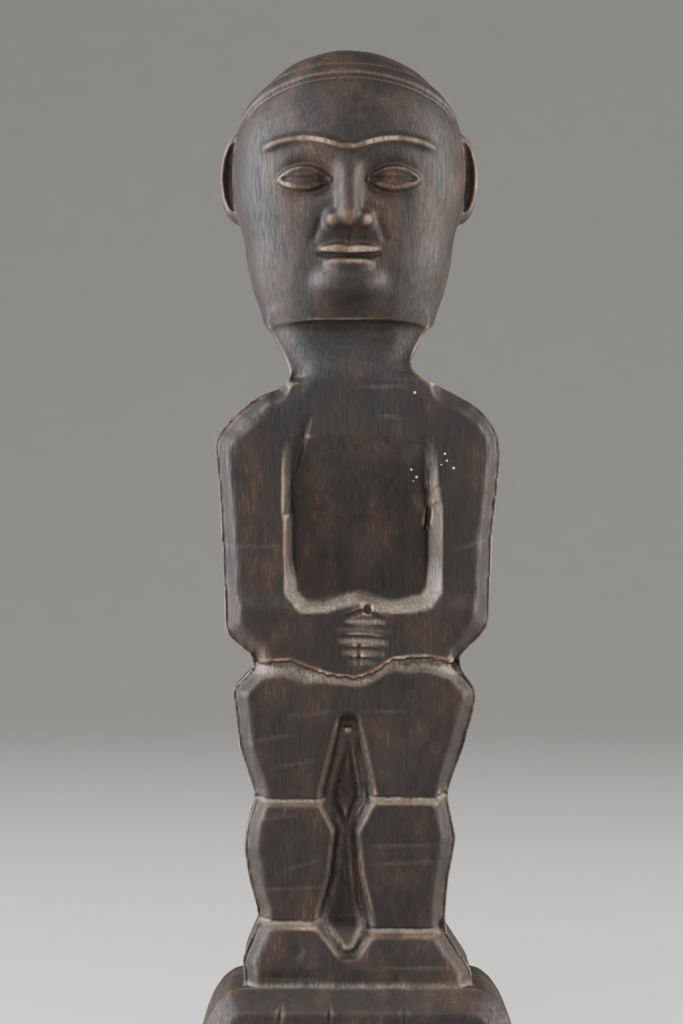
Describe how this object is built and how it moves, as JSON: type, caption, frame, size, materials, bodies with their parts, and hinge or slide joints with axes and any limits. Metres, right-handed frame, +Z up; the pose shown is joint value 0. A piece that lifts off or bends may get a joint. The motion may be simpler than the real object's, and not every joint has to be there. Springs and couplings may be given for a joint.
{
  "type": "carved standing figure",
  "caption": "Standing figure of dark-stained carved wood, hands clasped on the belly, on a rounded base with a flat underside.",
  "frame": {"origin": "middle of the base's flat underside", "axes": "+Z up, the figure faces -Y, and its own left side is at +X"},
  "size_m": [0.048, 0.03, 0.1607],
  "materials": {
    "stained_wood": "dark stain, hand rubbed, satin",
    "worn_wood": "dark stain, rubbed through to bare wood on the high places"
  },
  "bodies": {
    "root": {"base": "stained_wood", "right_foot": "stained_wood", "left_foot": "stained_wood", "right_calf": "stained_wood", "left_calf": "stained_wood", "leg_web": "stained_wood", "right_thigh": "stained_wood", "left_thigh": "stained_wood", "pelvis": "stained_wood", "trunk": "stained_wood", "right_upper_arm": "stained_wood", "left_upper_arm": "stained_wood", "right_forearm": "stained_wood", "left_forearm": "stained_wood", "right_hand": "stained_wood", "left_hand": "stained_wood", "neck": "stained_wood", "head": "worn_wood", "right_ear": "worn_wood", "left_ear": "worn_wood", "headband": "worn_wood", "hair_cap": "worn_wood"}
  },
  "joints": []
}
